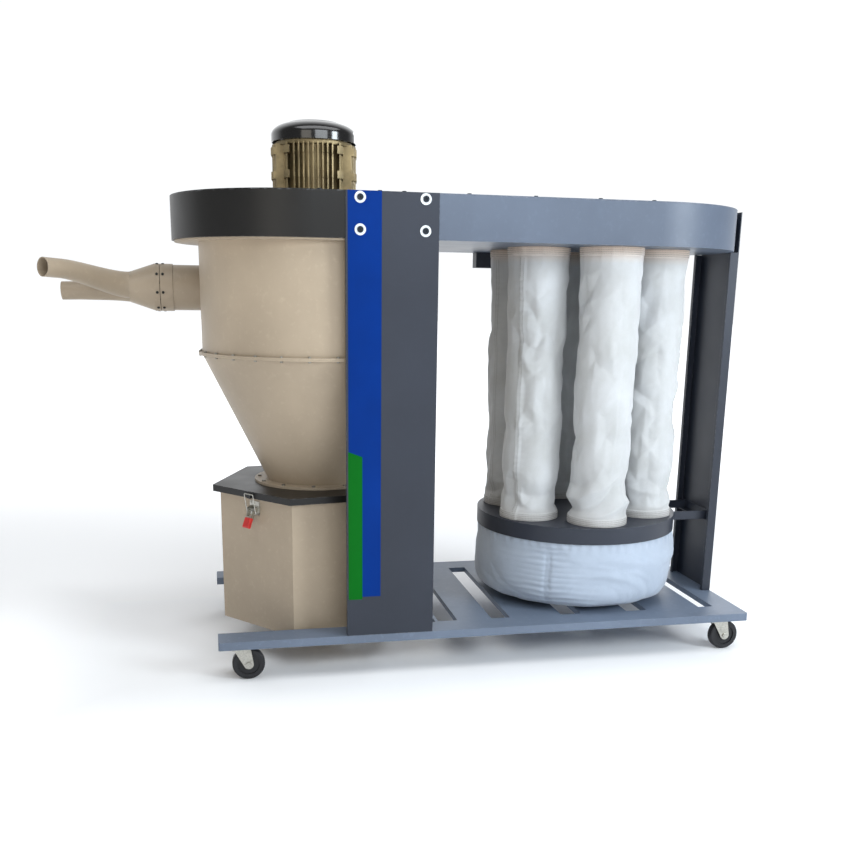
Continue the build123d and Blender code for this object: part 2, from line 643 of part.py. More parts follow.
def motor_cowl():
    """Spun cap over the cooling fan, with four rings of vents in its flat top."""
    flat = 60
    wall_top = COWL_TOP - COWL_DOME
    inner_radius = MOTOR_RADIUS - COWL_WALL
    inner_top = COWL_TOP - COWL_WALL
    rise = [(123, COWL_TOP - 22), (105, COWL_TOP - 11), (82, COWL_TOP - 3.4)]
    dome = Spline((MOTOR_RADIUS, wall_top), *rise, (flat, COWL_TOP), tangents=((0, 1), (-1, 0)))
    fall = [(80, inner_top - 3.4), (102, inner_top - 11), (120, inner_top - 22)]
    lining = Spline((flat - 2, inner_top), *fall, (inner_radius, wall_top - 2), tangents=((1, 0), (0, -1)))
    skirt = Polyline((inner_radius, MOTOR_TOP), (MOTOR_RADIUS, MOTOR_TOP), (MOTOR_RADIUS, wall_top))
    crown = Polyline((flat, COWL_TOP), (0, COWL_TOP), (0, inner_top), (flat - 2, inner_top))
    inside = Line((inner_radius, wall_top - 2), (inner_radius, MOTOR_TOP))
    outline = make_face(skirt.edges() + dome.edges() + crown.edges() + lining.edges() + inside.edges())
    cowl = revolve(Plane.XZ * outline, Axis.Z)
    for radius in (22, 33, 44, 55):
        ring = tube(0, 0, COWL_TOP - 10, COWL_TOP, radius + 2.5, radius - 2)
        for quarter in range(4):
            ring -= Rot(0, 0, 45 + 90 * quarter) * block(0, 90, -5, 5, COWL_TOP - 10, COWL_TOP)
        cowl -= ring
    save("motor_cowl", Pos(CYCLONE_X, 0, 0) * cowl)


def motor():
    foot = HOUSING_TOP + MOTOR_FLANGE
    flange = tube(CYCLONE_X, 0, HOUSING_TOP, foot, 146, 45)
    bolts = []
    for x, y in around(8, 136, 22.5):
        x += CYCLONE_X
        flange -= disc(x, y, HOUSING_TOP, foot, 4.2)
        bolts.append(disc(x, y, HOUSING_TOP, foot, 4) + disc(x, y, foot, foot + 5, 7))

    body = motor_frame(foot)
    body += tube(CYCLONE_X, 0, MOTOR_TOP - 12, MOTOR_TOP, MOTOR_CORE, 36)
    body -= block(CYCLONE_X - 44, CYCLONE_X + 44, 108, 150, 1488, 1592)
    body += block(CYCLONE_X - 40, CYCLONE_X + 40, 104, 116, 1492, 1588)
    motor_cowl()

    box = block(CYCLONE_X - 42, CYCLONE_X + 42, 116, 172, 1490, 1590)
    box = fillet(box.edges().filter_by(Axis.Y), 8)
    box -= block(CYCLONE_X - 38, CYCLONE_X + 38, 120, 168, 1494, 1586)
    gland = disc(CYCLONE_X, 144, 1470, 1494, 11) - disc(CYCLONE_X, 144, 1470, 1494, 6)
    gland += Pos(CYCLONE_X, 144, 1481) * extrude(RegularPolygon(16, 6) - Circle(6), 8)
    box -= disc(CYCLONE_X, 144, 1488, 1496, 11)
    save("terminal_box", box, gland)
    save("motor_flange", flange)
    save("motor_body", body)

    bearings = [
        tube(CYCLONE_X, 0, foot - 12, foot, 45, SHAFT_RADIUS + RUNNING),
        tube(CYCLONE_X, 0, MOTOR_TOP - 12, MOTOR_TOP, 36, SHAFT_RADIUS + RUNNING),
    ]
    save("motor_bearings", *bearings)
    shaft = disc(CYCLONE_X, 0, 1345, COWL_TOP - 24, SHAFT_RADIUS)
    rotor_core = tube(CYCLONE_X, 0, foot + 18, MOTOR_TOP - 34, 88, SHAFT_RADIUS)
    save("motor_shaft", shaft + rotor_core)
    impeller = tube(CYCLONE_X, 0, 1348, 1424, 38, SHAFT_RADIUS)
    impeller += tube(CYCLONE_X, 0, 1420, 1424, IMPELLER_RADIUS, SHAFT_RADIUS)
    for k in range(10):
        blade = Pos((IMPELLER_RADIUS + 36) / 2, 0, 1386) * Rot(0, 0, 14) * Box(IMPELLER_RADIUS - 48, 4, 70)
        impeller += Pos(CYCLONE_X, 0, 0) * Rot(0, 0, 36 * k) * blade
    save("impeller", impeller)
    hub_low = MOTOR_TOP + 14
    fan = tube(CYCLONE_X, 0, hub_low, hub_low + 20, 30, SHAFT_RADIUS)
    fan += tube(CYCLONE_X, 0, hub_low, hub_low + 3, 108, SHAFT_RADIUS)
    for k in range(8):
        blade = Pos(66, 0, hub_low + 10) * Box(78, 3, 18)
        fan += Pos(CYCLONE_X, 0, 0) * Rot(0, 0, 45 * k) * blade
    save("cooling_fan", fan)
    return bolts


# Casters


def casters():
    plates = []
    crown_top = DECK_UNDER - SHEET - 2
    for name, (x, y) in zip(CASTER_NAMES, [(x, y) for x in CASTER_X for y in CASTER_Y]):
        plate = block(x - 38, x + 38, y - 38, y + 38, DECK_UNDER - SHEET, DECK_UNDER)
        plate += disc(x, y, crown_top - 0.3, DECK_UNDER - SHEET, 24)
        kingpin = disc(x, y, crown_top - 9, crown_top, KINGPIN_RADIUS)
        kingpin += disc(x, y, crown_top - 9, crown_top - 6, KINGPIN_RADIUS + 4)
        plates.append(plate + kingpin)

        fork = caster_fork(x, y, crown_top)
        save(f"caster_wheel_{name}", caster_wheel(x + CASTER_TRAIL, y))
        if name.startswith("front"):
            pivot_x, pivot_z = x - 16, crown_top - 24
            fork += pedal_lug(pivot_x, y, pivot_z, crown_top)
            save(f"brake_pedal_{name}", brake_pedal(pivot_x, y, pivot_z))
        save(f"caster_fork_{name}", fork)
    save("caster_plates", *plates)


def caster_fork(x, y, crown_top):
    axle_x, axle_z = x + CASTER_TRAIL, WHEEL_RADIUS
    crown_low, crown_high = crown_top - 5.5, crown_top - 0.6
    fork = disc(x, y, crown_low, crown_high, 36) + block(x - 22, x + 26, y - 15, y + 15, crown_low, crown_high)
    fork -= disc(x, y, crown_low, crown_high, KINGPIN_RADIUS + RUNNING)
    round_end = Pos(axle_x, axle_z) * Circle(15)
    root = Pos(x + 2, crown_top - 4) * Rectangle(58, 6.8)
    side = make_hull(round_end.edges() + root.edges())
    for sign in (-1, 1):
        inner = y + sign * (WHEEL_WIDTH / 2 + 2)
        fork += extrude(Plane.XZ.offset(-inner) * side, -SHEET * sign)
    fork += rod_y(axle_x, y - 21, y + 21, axle_z, AXLE_RADIUS)
    for sign in (-1, 1):
        nut = Plane.XZ.offset(-(y + sign * 18)) * Pos(axle_x, axle_z) * RegularPolygon(9, 6)
        fork += extrude(nut, -4 * sign)
    return fork


def caster_wheel(x, y):
    half = WHEEL_WIDTH / 2
    wheel = rod_y(x, y - half, y + half, WHEEL_RADIUS, WHEEL_RADIUS)
    wheel = fillet(wheel.edges().filter_by(GeomType.CIRCLE), 6)
    for sign in (-1, 1):
        web, face = y + sign * (half - 4), y + sign * half
        wheel -= rod_y(x, web, face, WHEEL_RADIUS, 34)
        wheel += rod_y(x, web, face, WHEEL_RADIUS, 13)
    return wheel - rod_y(x, y - 20, y + 20, WHEEL_RADIUS, AXLE_RADIUS + RUNNING)


def pedal_lug(x, y, z, crown_top):
    lug = block(x - 6, x + 10, y - 18, y + 18, z - 6, crown_top - 4)
    lug -= block(x - 8, x + 12, y - 15, y + 15, z - 8, crown_top - 5.5)
    return lug + rod_y(x, y - 18, y + 18, z, PEDAL_PIN_RADIUS)


def brake_pedal(x, y, z):
    pedal = block(x - 44, x - 4, y - 14, y + 14, z - 1.5, z + 1.5) + rod_y(x, y - 14, y + 14, z, 6)
    return pedal - rod_y(x, y - 20, y + 20, z, PEDAL_PIN_RADIUS + RUNNING)


os.makedirs("parts", exist_ok=True)
base_frame()
bin_rails()
column_screws = columns()
stripes()
cover_screws = housings()
fan_scroll()
end_panel()
ring_bracket()
plenum_bracket()
filter_side()
cyclone_bolts = cyclone()
inlet_screws = inlet()
save("cyclone_fasteners", *cyclone_bolts, *inlet_screws)
bin_and_lid(latches())
motor_bolts = motor()
save("housing_screws", *column_screws, *cover_screws, *motor_bolts)
casters()
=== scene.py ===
"""Looks of the cyclone dust collector: materials, sewn bags, light and camera, on the CAD frame."""

import json
import math

import bmesh
import bpy
from mathutils import Matrix, Vector, noise


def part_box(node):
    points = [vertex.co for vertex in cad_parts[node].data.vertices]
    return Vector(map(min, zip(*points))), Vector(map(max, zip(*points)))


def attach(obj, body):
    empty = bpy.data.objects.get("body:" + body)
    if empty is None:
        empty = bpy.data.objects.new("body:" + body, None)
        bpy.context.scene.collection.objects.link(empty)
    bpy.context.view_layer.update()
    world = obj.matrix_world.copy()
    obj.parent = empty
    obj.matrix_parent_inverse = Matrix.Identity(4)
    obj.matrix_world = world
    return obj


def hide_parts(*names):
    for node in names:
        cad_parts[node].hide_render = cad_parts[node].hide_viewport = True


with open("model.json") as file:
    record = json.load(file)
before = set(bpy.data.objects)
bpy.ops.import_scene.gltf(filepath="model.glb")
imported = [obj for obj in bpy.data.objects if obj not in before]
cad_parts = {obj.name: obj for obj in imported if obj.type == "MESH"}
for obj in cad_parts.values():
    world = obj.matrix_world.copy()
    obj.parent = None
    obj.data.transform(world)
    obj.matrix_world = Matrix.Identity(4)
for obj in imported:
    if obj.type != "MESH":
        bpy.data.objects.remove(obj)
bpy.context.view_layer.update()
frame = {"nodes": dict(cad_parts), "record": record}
nodes = frame["nodes"]

TURN = 2 * math.pi

# Camera: place in metres, angles in degrees, lens and sensor in millimetres
CAMERA_AT = (-0.6043, -3.2571, 1.1669)
CAMERA_YAW = 12.154
CAMERA_PITCH = 13.826
CAMERA_ROLL = 0.857
CAMERA_LENS = 41.51
CAMERA_SENSOR = 36
CAMERA_SHIFT_UP = 0.1294
CAMERA_REACH = 60

# World: light in front of the object and behind it, and how far back a direction points where it starts
# and stops rising
WORLD_FRONT = 0.2
WORLD_BACK = 1.05
WORLD_RISE = (0.1, 0.66)
COOL_WHITE = (0.97, 0.985, 1, 1)

# Floor, in metres: the shaded part reaches so far from the middle, and past it the floor lights itself.
# Each glow has the distances where it starts and is full, and its strength.
FLOOR_HALF = 40
SHADED_X = 0.95
SHADED_Y = 0.42
NEAR_GLOW = (-0.1, 0.45, 0.22)
FAR_GLOW = (0.6, 4.5, 0.75)

# Cloth and thread, in metres
CLOTH_THICKNESS = 0.0015
STITCH_THREAD = 0.002
STITCH_LENGTH = 0.0045
STITCH_PITCH = 0.0065
PUCKER_PITCH = 0.019

# Filter bags, in metres; seams, in degrees, and slumps, in metres, are those of bags 1 to 6
FILTER_BAGS = 6
BAG_RADIUS = 0.098
BAG_FLARE = 0.0025
BAG_SEGMENTS = 132
BAG_ROWS = 190
HEM_HEIGHT = 0.026
HEM_MESH_ROWS = 14
HEM_STITCHES = 120
STITCH_ROWS = (0.004, 0.01, 0.016, 0.022)
SEAM_STITCHES = (-0.006, 0.006)
SEAM_LAP = 0.011
SEAM_TURNS = (30, 20, 80, 120, 205, 221)
SLUMPS = (0.01178, 0.00646, 0.0057, 0.0057, 0.0057, 0.00646)
BAG_SEED = 17.3

# Dust bag, in metres; its profile is radius and height, from the middle of the floor out and up
DUST_BAG_RADIUS = 0.36
DUST_BAG_SEGMENTS = 420
DUST_BAG_ROWS = 96
DUST_BAG_SEAM = math.radians(236)
DUST_BAG_PLEATS = 64
DUST_BAG_FLOOR = [(0.06, 0.0), (0.15, 0.0), (0.215, 0.0), (0.262, 0.006), (0.305, 0.019), (0.338, 0.036)]
DUST_BAG_SIDE = [(0.354, 0.057), (0.36, 0.09), (0.359, 0.14), (0.355, 0.19), (0.347, 0.225)]
DUST_BAG_TOP = [(0.342, 0.2437)]


# Camera


def add_camera():
    yaw, pitch, roll = (math.radians(a) for a in (CAMERA_YAW, CAMERA_PITCH, CAMERA_ROLL))
    level = Vector((math.sin(yaw), math.cos(yaw), 0))
    side = Vector((math.cos(yaw), -math.sin(yaw), 0))
    up = Vector((0, 0, 1))
    ahead = level * math.cos(pitch) - up * math.sin(pitch)
    above = level * math.sin(pitch) + up * math.cos(pitch)
    right = side * math.cos(roll) + above * math.sin(roll)
    top = above * math.cos(roll) - side * math.sin(roll)
    data = bpy.data.cameras.new("camera")
    data.lens = CAMERA_LENS
    data.sensor_width = CAMERA_SENSOR
    data.shift_y = CAMERA_SHIFT_UP
    data.clip_end = CAMERA_REACH
    camera = placed("camera", data)
    turn = Matrix((right, top, -ahead)).transposed().to_4x4()
    camera.matrix_world = Matrix.Translation(CAMERA_AT) @ turn
    bpy.context.scene.camera = camera


def placed(name, data):
    """A new object of the scene that shows this data."""
    made = bpy.data.objects.new(name, data)
    bpy.context.scene.collection.objects.link(made)
    return made


# Materials


def linear(r, g, b):
    """Display colour, 0 to 255, as linear light."""

    def one(value):
        value /= 255
        return value / 12.92 if value <= 0.04045 else ((value + 0.055) / 1.055) ** 2.4

    return (one(r), one(g), one(b), 1)


def shade(colour, factor):
    return (*(min(1, c * factor) for c in colour[:3]), 1)


class Look:
    """A material under construction: the Principled shader and short ways to feed it."""

    def __init__(self, name, colour, rough=0.5, metal=0.0, **sockets):
        self.material = bpy.data.materials.new(name)
        self.material.use_nodes = True
        self.tree = self.material.node_tree
        self.shader = self.tree.nodes["Principled BSDF"]
        self.shader.inputs["Base Color"].default_value = colour
        self.shader.inputs["Roughness"].default_value = rough
        self.shader.inputs["Metallic"].default_value = metal
        for socket, value in sockets.items():
            self.shader.inputs[socket.replace("_", " ")].default_value = value
        self.place = self.node("ShaderNodeTexCoord").outputs["Object"]
        self.height = None

    def node(self, kind, **settings):
        made = self.tree.nodes.new(kind)
        for key, value in settings.items():
            setattr(made, key, value)
        return made

    def link(self, output, socket):
        self.tree.links.new(output, socket)

    def feed(self, socket, value):
        """Sets a socket to a number or colour, or links an output to it."""
        if isinstance(value, (int, float, tuple)):
            socket.default_value = value
        else:
            self.link(value, socket)

    def stretched(self, scale):
        mapping = self.node("ShaderNodeMapping")
        mapping.inputs["Scale"].default_value = scale
        self.link(self.place, mapping.inputs["Vector"])
        return mapping.outputs["Vector"]

    def along(self, axis):
        """The place on the part along one axis, in metres."""
        parts = self.node("ShaderNodeSeparateXYZ")
        self.link(self.place, parts.inputs["Vector"])
        return parts.outputs[axis]

    def noise(self, scale, detail=4.0, rough=0.55, stretch=None):
        made = self.node("ShaderNodeTexNoise")
        made.inputs["Scale"].default_value = scale
        made.inputs["Detail"].default_value = detail
        made.inputs["Roughness"].default_value = rough
        self.link(self.stretched(stretch) if stretch else self.place, made.inputs["Vector"])
        return made.outputs["Fac"]

    def ramp(self, value, low, high):
        """0 up to low, 1 from high, straight between them."""
        made = self.node("ShaderNodeValToRGB")
        made.color_ramp.elements[0].position = low
        made.color_ramp.elements[1].position = high
        made.color_ramp.elements[0].color = (0, 0, 0, 1)
        made.color_ramp.elements[1].color = (1, 1, 1, 1)
        self.link(value, made.inputs["Fac"])
        return made.outputs["Color"]

    def remap(self, value, start, stop, first=0, last=1, smooth=False):
        """Turns start..stop into first..last, held outside."""
        made = self.node("ShaderNodeMapRange", interpolation_type="SMOOTHSTEP" if smooth else "LINEAR")
        made.inputs["From Min"].default_value = start
        made.inputs["From Max"].default_value = stop
        made.inputs["To Min"].default_value = first
        made.inputs["To Max"].default_value = last
        self.link(value, made.inputs["Value"])
        return made.outputs["Result"]

    def math(self, operation, a, b=0):
        made = self.node("ShaderNodeMath", operation=operation)
        self.feed(made.inputs[0], a)
        self.feed(made.inputs[1], b)
        return made.outputs["Value"]

    def mix(self, share, a, b):
        """Colour a where share is 0 and b where it is 1."""
        made = self.node("ShaderNodeMix", data_type="RGBA")
        first, second = (socket for socket in made.inputs if socket.type == "RGBA")
        self.feed(made.inputs["Factor"], share)
        self.feed(first, a)
        self.feed(second, b)
        return next(socket for socket in made.outputs if socket.type == "RGBA")

    def paint(self, colour):
        self.link(colour, self.shader.inputs["Base Color"])

    def roughen(self, value, low, high):
        self.link(self.remap(value, 0, 1, low, high), self.shader.inputs["Roughness"])

    def bump(self, value, strength, distance, rounded=0.0):
        """Adds a layer of relief; distance is in metres and layers stack."""
        made = self.node("ShaderNodeBump")
        made.inputs["Strength"].default_value = strength
        made.inputs["Distance"].default_value = distance
        self.link(value, made.inputs["Height"])
        if self.height is not None:
            self.link(self.height, made.inputs["Normal"])
        elif rounded:
            self.link(self.bevel(rounded), made.inputs["Normal"])
        self.height = made.outputs["Normal"]
        self.link(self.height, self.shader.inputs["Normal"])

    def bevel(self, radius):
        """The normal that the surface would have with its edges rounded."""
        made = self.node("ShaderNodeBevel", samples=4)
        made.inputs["Radius"].default_value = radius
        return made.outputs["Normal"]

    def edges(self, radius):
        """1 on sharp edges, 0 elsewhere: how far a rounded normal leaves the true one."""
        dot = self.node("ShaderNodeVectorMath", operation="DOT_PRODUCT")
        self.link(self.bevel(radius), dot.inputs[0])
        self.link(self.node("ShaderNodeNewGeometry").outputs["Normal"], dot.inputs[1])
        return self.ramp(self.math("SUBTRACT", 1, dot.outputs["Value"]), 0.03, 0.25)


def sheet_paint(name, colour, rough, worn, dust, edge=0.0018):
    """Powder-coated sheet steel: orange peel, slight oil-canning, dust and rubbed edges."""
    look = Look(name, colour, rough, Specular_IOR_Level=0.35)
    patches = look.ramp(look.noise(scale=2.3, detail=5), 0.35, 0.68)
    tone = look.mix(patches, shade(colour, 0.88), shade(colour, 1.1))
    specks = look.ramp(look.noise(scale=60, detail=6, rough=0.6), 0.56, 0.75)
    tone = look.mix(look.math("MULTIPLY", specks, dust), tone, shade(colour, 1.5))
    streaks = look.ramp(look.noise(scale=14, detail=5, rough=0.6, stretch=(1, 1, 0.12)), 0.55, 0.8)
    tone = look.mix(look.math("MULTIPLY", streaks, dust * 0.7), tone, shade(colour, 0.7))
    chips = look.ramp(look.noise(scale=85, detail=4), 0.48, 0.6)
    rub = look.math("MULTIPLY", look.edges(edge), chips)
    look.paint(look.mix(look.math("MULTIPLY", rub, 0.75), tone, worn))
    look.roughen(look.noise(scale=7, detail=6, rough=0.6), rough - 0.09, rough + 0.14)
    look.bump(look.noise(scale=900, detail=2), strength=0.25, distance=0.00012, rounded=0.0012)
    look.bump(look.noise(scale=3.2, detail=2), strength=0.5, distance=0.0012)
    return look.material


def plated(name, colour, rough, left_of=None):
    """Plated steel; left_of is an x, in metres, and a colour that parts further left have instead."""
    look = Look(name, colour, rough, metal=1.0)
    spangle = look.ramp(look.noise(scale=260, detail=3), 0.3, 0.7)
    tone = look.mix(spangle, shade(colour, 0.78), shade(colour, 1.15))
    if left_of:
        limit, other = left_of
        tone = look.mix(look.math("LESS_THAN", look.along("X"), limit), tone, other)
    grime = look.ramp(look.noise(scale=38, detail=6, rough=0.65), 0.52, 0.72)
    look.paint(look.mix(look.math("MULTIPLY", grime, 0.45), tone, shade(colour, 0.35)))
    look.roughen(look.noise(scale=90, detail=5), rough - 0.1, rough + 0.22)
    look.bump(look.noise(scale=420, detail=3), strength=0.2, distance=0.0001, rounded=0.0005)
    return look.material


def cast_metal(name, colour, grime_colour):
    look = Look(name, colour, 0.42, metal=0.65)
    patches = look.ramp(look.noise(scale=22, detail=6), 0.35, 0.7)
    tone = look.mix(patches, shade(colour, 0.72), shade(colour, 1.2))
    grime = look.ramp(look.noise(scale=9, detail=5), 0.45, 0.75)
    look.paint(look.mix(look.math("MULTIPLY", grime, 0.35), tone, grime_colour))
    look.roughen(look.noise(scale=130, detail=4), 0.34, 0.58)
    look.bump(look.noise(scale=520, detail=4), strength=0.5, distance=0.0003, rounded=0.0012)
    return look.material


def plastic(name, colour, rough, grain=700.0, depth=0.00012, coat=0.0):
    look = Look(name, colour, rough, Coat_Weight=coat, Coat_Roughness=0.08)
    patches = look.ramp(look.noise(scale=30, detail=5), 0.35, 0.7)
    look.paint(look.mix(patches, shade(colour, 0.86), shade(colour, 1.12)))
    look.roughen(look.noise(scale=45, detail=5), max(0.04, rough - 0.06), rough + 0.08)
    look.bump(look.noise(scale=grain, detail=2), strength=0.3, distance=depth, rounded=0.0006)
    return look.material


def film(name, colour):
    """Printed vinyl film on the column."""
    look = Look(name, colour, 0.34, Specular_IOR_Level=0.06)
    cloudy = look.ramp(look.noise(scale=3.5, detail=4), 0.3, 0.7)
    look.paint(look.mix(cloudy, shade(colour, 0.85), shade(colour, 1.12)))
    look.roughen(look.noise(scale=12, detail=5), 0.28, 0.46)
    look.bump(look.noise(scale=160, detail=4), strength=0.2, distance=0.0001)
    return look.material


def cloth(name, light, dark, threads, felt, warm_ends=None):
    """Woven bag cloth: felt is how much loose fibre covers the threads, and warm_ends is the heights of a
    bag's foot and top, in metres, and the colour that it has there."""
    look = Look(name, light, 0.88, Sheen_Weight=0.35, Sheen_Roughness=0.5, Subsurface_Weight=0.02)
    look.shader.inputs["Subsurface Radius"].default_value = (0.01, 0.009, 0.008)
    stains = look.ramp(look.noise(scale=6.5, detail=6, rough=0.6), 0.32, 0.72)
    tone = look.mix(stains, dark, light)
    fuzz = look.noise(scale=threads * 1.6, detail=5, rough=0.7)
    tone = look.mix(look.math("MULTIPLY", look.ramp(fuzz, 0.5, 0.8), 0.3), tone, shade(dark, 0.8))
    if warm_ends:
        foot, top, colour = warm_ends
        for end, reach, strength in ((foot, 0.05, 0.12), (top, -0.05, 0.7)):
            tone = look.mix(look.remap(look.along("Z"), end, end + reach, strength, 0), tone, colour)
    look.paint(tone)
    look.roughen(look.noise(scale=threads, detail=3), 0.8, 0.96)
    weft = look.node("ShaderNodeTexWave", bands_direction="Z")
    weft.inputs["Scale"].default_value = threads
    weft.inputs["Distortion"].default_value = 1.2
    look.link(look.place, weft.inputs["Vector"])
    look.bump(weft.outputs["Fac"], strength=0.3 * (1 - felt), distance=0.0004)
    look.bump(fuzz, strength=0.45, distance=0.0005)
    look.bump(look.noise(scale=26, detail=4), strength=0.4, distance=0.0022)
    return look.material


# Colours of the paints, films, metals and cloths

STEEL = linear(150, 152, 156)
RUBBED_CREAM = linear(120, 112, 98)
MOTOR_GRIME = linear(70, 58, 42)
LOOKS = {
    "base_paint": sheet_paint("base_paint", linear(104, 116, 134), 0.42, worn=STEEL, dust=0.45),
    "column_paint": sheet_paint("column_paint", linear(44, 49, 60), 0.4, worn=STEEL, dust=0.2),
    "plenum_paint": sheet_paint("plenum_paint", linear(88, 98, 114), 0.36, worn=STEEL, dust=0.25),
    # Painted shade: the fan housing has the same grey paint as the plenum, and this near-black copy of
    # that paint stands in for the shade and dark reflection on it
    "dark_paint": sheet_paint("dark_paint", linear(19, 18, 17), 0.34, worn=STEEL, dust=0.15),
    "cream_paint": sheet_paint("cream_paint", linear(166, 151, 131), 0.4, worn=RUBBED_CREAM, dust=0.2),
    "white_plastic": plastic("white_plastic", linear(225, 232, 236), 0.3),
    "zinc": plated("zinc", linear(186, 184, 176), 0.32),
    "bright_steel": plated("bright_steel", linear(196, 196, 200), 0.24),
    "blue_film": film("blue_film", linear(2, 46, 122)),
    "green_film": film("green_film", linear(6, 98, 24)),
    "black_rubber": plastic("black_rubber", linear(30, 30, 31), 0.75, grain=300, depth=0.0004),
    "wheel_rubber": plastic("wheel_rubber", linear(26, 26, 30), 0.55, grain=240, depth=0.0004),
    "motor_aluminium": cast_metal("motor_aluminium", linear(150, 134, 100), MOTOR_GRIME),
    "black_gloss": plastic("black_gloss", linear(16, 15, 15), 0.16, grain=60, depth=0.0003, coat=0.6),
    "black_plastic": plastic("black_plastic", linear(24, 24, 26), 0.5),
    "red_plastic": plastic("red_plastic", linear(196, 44, 40), 0.32, coat=0.25),
}

# The screws of the duct, at the left end, are dark; the flange screws are zinc.
DUCT_SCREWS = (-0.7, linear(52, 52, 50))
SCREW_LOOKS = {
    "housing_screws": plated("black_screws", linear(52, 56, 62), 0.4),
    "cyclone_fasteners": plated("cyclone_fasteners", linear(150, 148, 140), 0.4, left_of=DUCT_SCREWS),
}

WARM_HEMS = (0.432, 1.316, linear(216, 188, 162))
FILTER_CLOTH = cloth("filter_cloth", linear(196, 199, 202), linear(178, 180, 180), 420, 0.6, WARM_HEMS)
DUST_CLOTH = cloth("dust_cloth", linear(178, 190, 206), linear(164, 176, 192), 520, 0.3)
THREAD = plastic("thread", linear(84, 76, 66), 0.7, grain=900)


def dress_nodes():
    """Gives each CAD node the finish of its material slot; two sets of screws have their own."""
    slots = {row["node"]: row["material_slot"] for row in frame["record"]["subparts"]}
    for name, piece in nodes.items():
        look = SCREW_LOOKS.get(name) or LOOKS.get(slots.get(name))
        if look:
            piece.data.materials.clear()
            piece.data.materials.append(look)


# Cloth shapes


def smooth_step(value, low, high):
    share = min(1, max(0, (value - low) / (high - low)))
    return share * share * (3 - 2 * share)


def bell(distance, width):
    return math.exp(-((distance / width) ** 2))


def drift(x, y, z):
    """Smooth wandering value, mostly within half of 0."""
    return noise.noise(Vector((x, y, z)))


def signed_gap(angle, seam):
    """Angle from a seam, from minus half a turn to half a turn."""
    return (angle - seam + math.pi) % TURN - math.pi


def facets(around, up, cells, seed):
    """Crumpled cloth: flat facets between straight creases, -1 to 1, that repeat after so many cells."""
    i, j = math.floor(around), math.floor(up)
    u, v = around - i, up - j

    def corner(a, b):
        return 2 * noise.cell(Vector(((i + a) % cells + 0.5, j + b + 0.5, seed))) - 1

    if (i + j) % 2:
        u = 1 - u
        left, right = 1, 0
    else:
        left, right = 0, 1
    if u + v < 1:
        base = corner(left, 0)
        return base + u * (corner(right, 0) - base) + v * (corner(left, 1) - base)
    base = corner(right, 1)
    return base + (1 - u) * (corner(left, 1) - base) + (1 - v) * (corner(right, 0) - base)


def surface_mesh(name, columns, rows, point, bottom_centre=None):
    """A grid of points that closes round; point(column, row) gives a Vector."""
    shape = bmesh.new()
    grid = [[shape.verts.new(point(c, r)) for c in range(columns)] for r in range(rows + 1)]
    for low, high in zip(grid, grid[1:]):
        for c in range(columns):
            d = (c + 1) % columns
            shape.faces.new((low[c], low[d], high[d], high[c]))
    if bottom_centre is not None:
        centre = shape.verts.new(bottom_centre)
        for c in range(columns):
            shape.faces.new((grid[0][(c + 1) % columns], grid[0][c], centre))
    for face in shape.faces:
        face.smooth = True
    shape.normal_update()
    return finished(name, shape)


def finished(name, shape):
    mesh = bpy.data.meshes.new(name)
    shape.to_mesh(mesh)
    shape.free()
    return placed(name, mesh)


def give_thickness(piece):
    solid = piece.modifiers.new("thickness", "SOLIDIFY")
    solid.thickness = CLOTH_THICKNESS
    solid.offset = -1


# Facets round a filter bag, and the depth of each kind of relief in metres
LARGE_CELLS = 9
SMALL_CELLS = 17
FOOT_CELLS = 7
BAND_CELLS = 11
LARGE_CREASE = 0.0024
SMALL_CREASE = 0.0038
BAND_CREASE = 0.0034
OVAL = 0.001
GATHER = 0.0012
LAP_STEP = 0.0022
PUCKER = 0.0008
HEM_STEP = 0.0016
HEM_GROOVE = 0.0012
STITCH_GROOVE = 0.0006
THREAD_SINK = 0.0002


